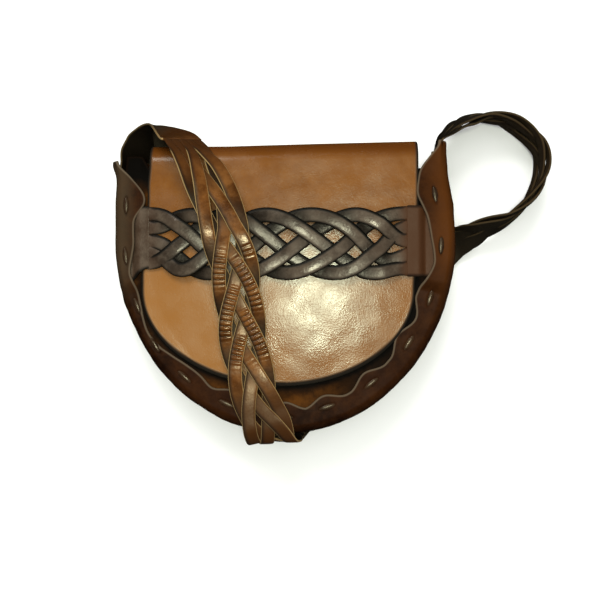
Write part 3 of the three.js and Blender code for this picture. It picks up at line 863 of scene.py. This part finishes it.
def strapPath():
    # a centripetal curve through the route, walked in even small steps
    route = np.array(strapRoute, float)
    knots = np.concatenate([2 * route[:1, :3] - route[1:2, :3], route[:, :3],
                            2 * route[-1:, :3] - route[-2:-1, :3]])
    heading, lift = np.radians(route[:, 3:5]).T
    near = np.stack([np.cos(lift) * np.cos(heading), np.cos(lift) * np.sin(heading), np.sin(lift)], 1)
    fine = []
    for row in range(len(route) - 1):
        p = knots[row:row + 4]
        t = np.concatenate([[0], np.cumsum([np.linalg.norm(p[i + 1] - p[i]) ** 0.5 for i in range(3)])])
        for part in np.linspace(0, 1, strap["rowSteps"], endpoint=False):
            at = mix(t[1], t[2], part)
            points = p
            for reach in (1, 2):
                points = [mix(points[i], points[i + 1], (at - t[i]) / (t[i + reach] - t[i]))
                          for i in range(len(points) - 1)]
            centre = mix(points[0], points[1], part)
            fine.append([*centre, *mix(near[row], near[row + 1], part),
                         *mix(route[row, 5:], route[row + 1, 5:], part)])
    fine.append([*route[-1, :3], *near[-1], *route[-1, 5:]])
    fine = np.array(fine)
    reach = strap["softening"] // 2
    window = np.hanning(strap["softening"]) / np.hanning(strap["softening"]).sum()
    padded = np.pad(fine[:, 3:6], ((reach, reach), (0, 0)), mode="edge")
    fine[:, 3:6] = unit(np.stack([np.convolve(padded[:, k], window, mode="valid") for k in range(3)], 1))
    return fine, runAlong(fine[:, :3])


def makeStrap():
    fine, run = strapPath()

    def passing(y):
        # where the strap's upper run passes a y
        return run[np.argmin(np.abs(fine[:, 1] - y) + (fine[:, 2] < 50) * 999)]

    ribFrom, ribTo = [passing(y) for y in strap["ribY"]]
    places = [0.0]
    while places[-1] < run[-1]:
        ribbed = ribFrom - 4 < places[-1] < ribTo + 4
        places.append(places[-1] + strap["ribStep" if ribbed else "step"])
    s = np.array(places[:-1] + [run[-1]])
    stations = np.stack([np.interp(s, run, fine[:, k]) for k in range(8)], 1)
    centre, near, width, thick = stations[:, :3], stations[:, 3:6], stations[:, 6], stations[:, 7]
    ahead = unit(np.gradient(centre, axis=0))
    # over the arch the strap lies askew, further on it is square to its run
    square = smooth(*run[strap["squareRows"]], s)[:, None]
    near = unit(near - square * ahead * np.sum(near * ahead, axis=1, keepdims=True))
    up = unit(np.cross(near, ahead))

    tailFrom, tailTo = run[strap["leftTailRow"]], run[strap["rightTailRow"]]
    start, end = strap["blend"]
    braided = between((tailFrom + start, tailFrom + end), (tailTo - end, tailTo - start), s)
    past = s - passing(strap["bulgeY"])
    # darker brown where it goes over the end of the bag, partly painted shade where it turns away from
    # the light, and olive over the arch and in the loop
    dusk = 0.5 * smooth(*strap["endTone"], past) + 0.5 * smooth(*strap["loopTone"], past)
    dusk = np.maximum(dusk, 1 - smooth(*strap["archTone"], s))
    wider = strap["wider"] * smooth(*strap["loopFrom"], past)
    # it is plaited more slowly above the front band
    slow = np.minimum(0, s - passing(strap["slowY"]))
    path = {"centre": centre, "wide": -near, "up": up, "braided": braided, "tone": dusk,
            "turn": (past - (1 - strap["slowTurn"]) * slow) / strap["repeat"],
            "spread": (width - strap["strand"]) / 2,
            "rise": np.maximum(thick - strap["thickness"], 0.4) / 2 - 0.15,
            "narrow": mix(strap["narrow"], 1.0 + wider, braided),
            "ribs": between((ribFrom, ribFrom + strap["ribFade"]), (ribTo - strap["ribFade"], ribTo), s),
            "apart": between((tailFrom - 1, tailFrom + 16), (tailTo - 12, tailTo + 1), s)}
    inside = (s > tailFrom - 2) & (s < tailTo + 2)
    path = {key: value[inside] for key, value in path.items()}
    lines = braidLines({**path, "slot": strap["slot"]}, 5, -1,
                       slotOrder(path["turn"][0], 5), slotOrder(path["turn"][-1], 5))
    braid = runTree("shoulder_strap_strands", guideLines("strap_guide", lines), strands,
                    {"Width": strap["strand"] * mm, "Thickness": strap["thickness"] * mm,
                     "Squareness": strap["squareness"], "Rib Height": strap["ribHeight"] * mm,
                     "Rib Pitch": strap["ribPitch"] * mm}, finish["golden"])
    tails = []
    for side, keep, uncut in (("left", s <= tailFrom + 1, 0), ("right", s >= tailTo - 1, -1)):
        # over the arch the far side is turned in as a lip
        wide = width[keep, None]
        lip = strap["lip"] * between(run[strap["lipRiseRows"]], run[strap["lipFallRows"]], s[keep])
        reach = np.linspace(1, 0, strap["tailColumns"]) * (wide + lip[:, None])
        flatPart, lipPart = np.minimum(reach, wide), np.maximum(reach - wide, 0)
        grid = (centre[keep, None] + near[keep, None] * (wide / 2 - flatPart)[..., None]
                + np.array(strap["lipWay"]) * lipPart[..., None])
        # the tone eases towards the strands, so that no seam shows
        seam = smooth(tailFrom - strap["seamLength"], tailFrom, s[keep]) * (side == "left")
        tone = dusk[keep] * (1 - strap["seamTone"] * seam)
        tone = np.broadcast_to(tone[:, None], reach.shape)[::-1]
        # one face of each tail is painted near black as shade, as the strands' under faces are
        tails.append(leatherSheet("strap_" + side, grid[::-1], strap["thickness"] * strap["narrow"],
                                  finish["golden"], {"tone": tone, "under": (0 * tone - 1, 0 * tone + 1)},
                                  uncut=uncut))
    print("strap length in mm:", round(float(run[-1]), 1))
    return joinPieces("shoulder_strap_leather", braid, *tails)


shoulderStrap = makeStrap()
print("shoulder strap made")


# lacing: a short lens of thong at each slit, front and back
lace = {"length": 13.5, "width": 4.4, "height": 2.3, "frontRise": 0.45, "backRise": 0.4}


def laceTree():
    # a pressed ball at every point, turned to its heading
    tree, given = newTree("lace_stitches", {"Length": 0.01, "Width": 0.01, "Height": 0.01})
    ball = made(tree, "GeometryNodeMeshUVSphere", {"Segments": 24, "Rings": 14, "Radius": 0.5})
    turn = made(tree, "ShaderNodeCombineXYZ", {2: readMark(tree, "heading")})
    size = made(tree, "ShaderNodeCombineXYZ", {0: given["Length"], 1: given["Width"], 2: given["Height"]})
    placed = made(tree, "GeometryNodeInstanceOnPoints", {
        "Points": given["Geometry"], "Instance": ball, "Rotation": turn, "Scale": size})
    return endTree(tree, placed, given)


def makeLacing():
    grid, slit, points, inward, ahead, along = gussetGrid()
    places, headings = [], []
    for place, inset in zip(*lacing.values()):
        at = int(np.argmin(np.abs(along - place)))
        spot = points[at] + inward[at] * inset
        flat = np.linalg.norm(grid[at, :, :2] - spot, axis=1)
        front = np.where(grid[at, :, 2] > depth / 2, flat, 999).argmin()
        places.append((*spot, grid[at, front, 2] + leather / 2 + lace["frontRise"]))
        places.append((*spot, lace["backRise"]))
        headings += [math.atan2(ahead[at, 1], ahead[at, 0])] * 2
    mesh = bpy.data.meshes.new("lacing_guide")
    mesh.from_pydata(layDown(places), [], [])
    setMarks(mesh, {"heading": headings})
    sizes = {key.capitalize(): lace[key] * mm for key in ("length", "width", "height")}
    return runTree("lacing_thong", addObject("lacing_guide", mesh), laceTree(), sizes, finish["lace"])


lacingThong = makeLacing()
print("lacing made")


# floor, camera and light
floorLook = {"half": 3.0, "colour": (0.86, 0.86, 0.86), "rough": 0.9}
cameraView = {"over": (-27.11, -19.01), "height": 746.3, "lens": 55.1, "sensor": 36}
room = {"colour": (1, 1, 1), "strength": 0.45}
lights = {
    "fill": {"place": (0.0, 0.1, 1.7), "size": (1.6, 1.6), "power": 15.0, "shine": False},
    "key": {"place": (-0.12, 0.95, 1.15), "size": (0.6, 0.6), "power": 13.0, "shine": False},
    "sheen": {"place": (-0.014, -0.008, 1.27), "size": (0.13, 0.22), "power": 5.9, "shine": True,
              "colour": (0.93, 1, 0.8)},
    "window": {"place": (-0.5, 0.75, 1.0), "size": (0.3, 0.3), "power": 2.2, "shine": True},
}


def makeFloor():
    size = floorLook["half"]
    corners = [(-size, -size, 0), (size, -size, 0), (size, size, 0), (-size, size, 0)]
    mesh = bpy.data.meshes.new("floor")
    mesh.from_pydata(corners, [], [(0, 1, 2, 3)])
    material = bpy.data.materials.new("pale_floor")
    material.use_nodes = True
    shader = material.node_tree.nodes["Principled BSDF"]
    shader.inputs["Base Color"].default_value = (*floorLook["colour"], 1)
    shader.inputs["Roughness"].default_value = floorLook["rough"]
    mesh.materials.append(material)
    floor = addObject("floor", mesh)
    floor.visible_glossy = False


def makeCamera():
    camera = bpy.data.cameras.new("camera")
    camera.lens = cameraView["lens"]
    camera.sensor_width = cameraView["sensor"]
    holder = addObject("camera", camera)
    holder.location = Vector((*cameraView["over"], cameraView["height"])) * mm
    bpy.context.scene.camera = holder


def makeLights():
    world = bpy.data.worlds.new("studio")
    bpy.context.scene.world = world
    world.use_nodes = True
    background = world.node_tree.nodes["Background"]
    background.inputs[0].default_value = (*room["colour"], 1)
    background.inputs[1].default_value = room["strength"]
    world.cycles_visibility.glossy = False
    for name, row in lights.items():
        light = bpy.data.lights.new(name, "AREA")
        light.shape = "ELLIPSE"
        light.size, light.size_y = row["size"]
        light.energy = row["power"]
        light.color = row.get("colour", room["colour"])
        holder = addObject(name, light)
        holder.location = row["place"]
        holder.rotation_euler = (-Vector(row["place"])).to_track_quat("-Z", "Y").to_euler()
        holder.visible_glossy = row["shine"]


makeFloor()
makeCamera()
makeLights()
bpy.context.scene.view_settings.view_transform = "Standard"
print("floor, camera and lights placed")

pieces = [
    (backAndFlap, "tan_leather", ["back_and_flap"]),
    (frontPanel, "chestnut_leather", ["front_panel"]),
    (gusset, "cordovan_leather", ["gusset"]),
    (lacingThong, "cordovan_leather", []),
    (frontBand, "dark_leather", ["front_band"]),
    (shoulderStrap, "golden_leather", ["shoulder_strap"]),
]
for piece, slotName, nodes in pieces:
    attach(piece, "root")
    if nodes:
        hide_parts(*nodes)
    print(piece.name, sum(len(p.vertices) - 2 for p in piece.data.polygons), "triangles")
